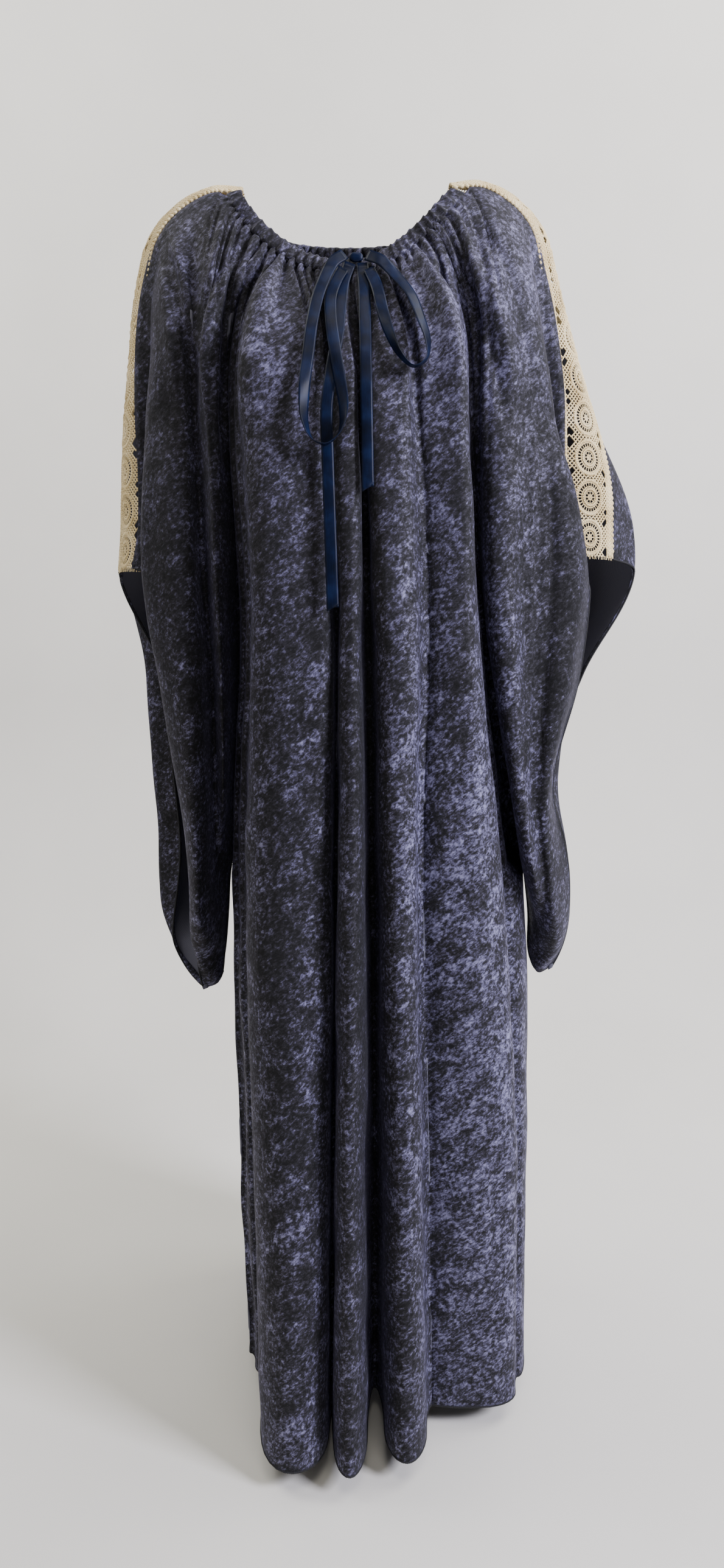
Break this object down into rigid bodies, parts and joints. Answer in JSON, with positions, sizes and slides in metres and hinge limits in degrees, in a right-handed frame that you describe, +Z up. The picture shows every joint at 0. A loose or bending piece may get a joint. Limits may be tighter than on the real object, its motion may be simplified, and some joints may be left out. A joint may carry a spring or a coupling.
{
  "type": "kaftan gown",
  "caption": "Floor-length velvet kaftan gown with a drawstring neck, lace sleeve insertions, wing sleeves and a full folded skirt, filled out as worn.",
  "frame": {"origin": "middle of the shoulder line, between the two ends of the lace bands at the neck", "axes": "+Z up along the gown's length, -Y towards the front, +X to the right as seen from the front"},
  "size_m": [0.6245, 0.434, 1.3697],
  "materials": {
    "velvet": "crushed pile with a soft sheen",
    "lace": "matt cotton",
    "satin": "satin"
  },
  "bodies": {
    "root": {"front_panel": "velvet", "back_panel": "velvet", "lace_left": "lace", "lace_right": "lace", "neck_casing_front": "velvet", "neck_casing_back": "velvet", "ribbon_knot": "satin", "ribbon_loop_left": "satin", "ribbon_loop_right": "satin", "ribbon_tail_left": "satin", "ribbon_tail_right": "satin"}
  },
  "joints": []
}
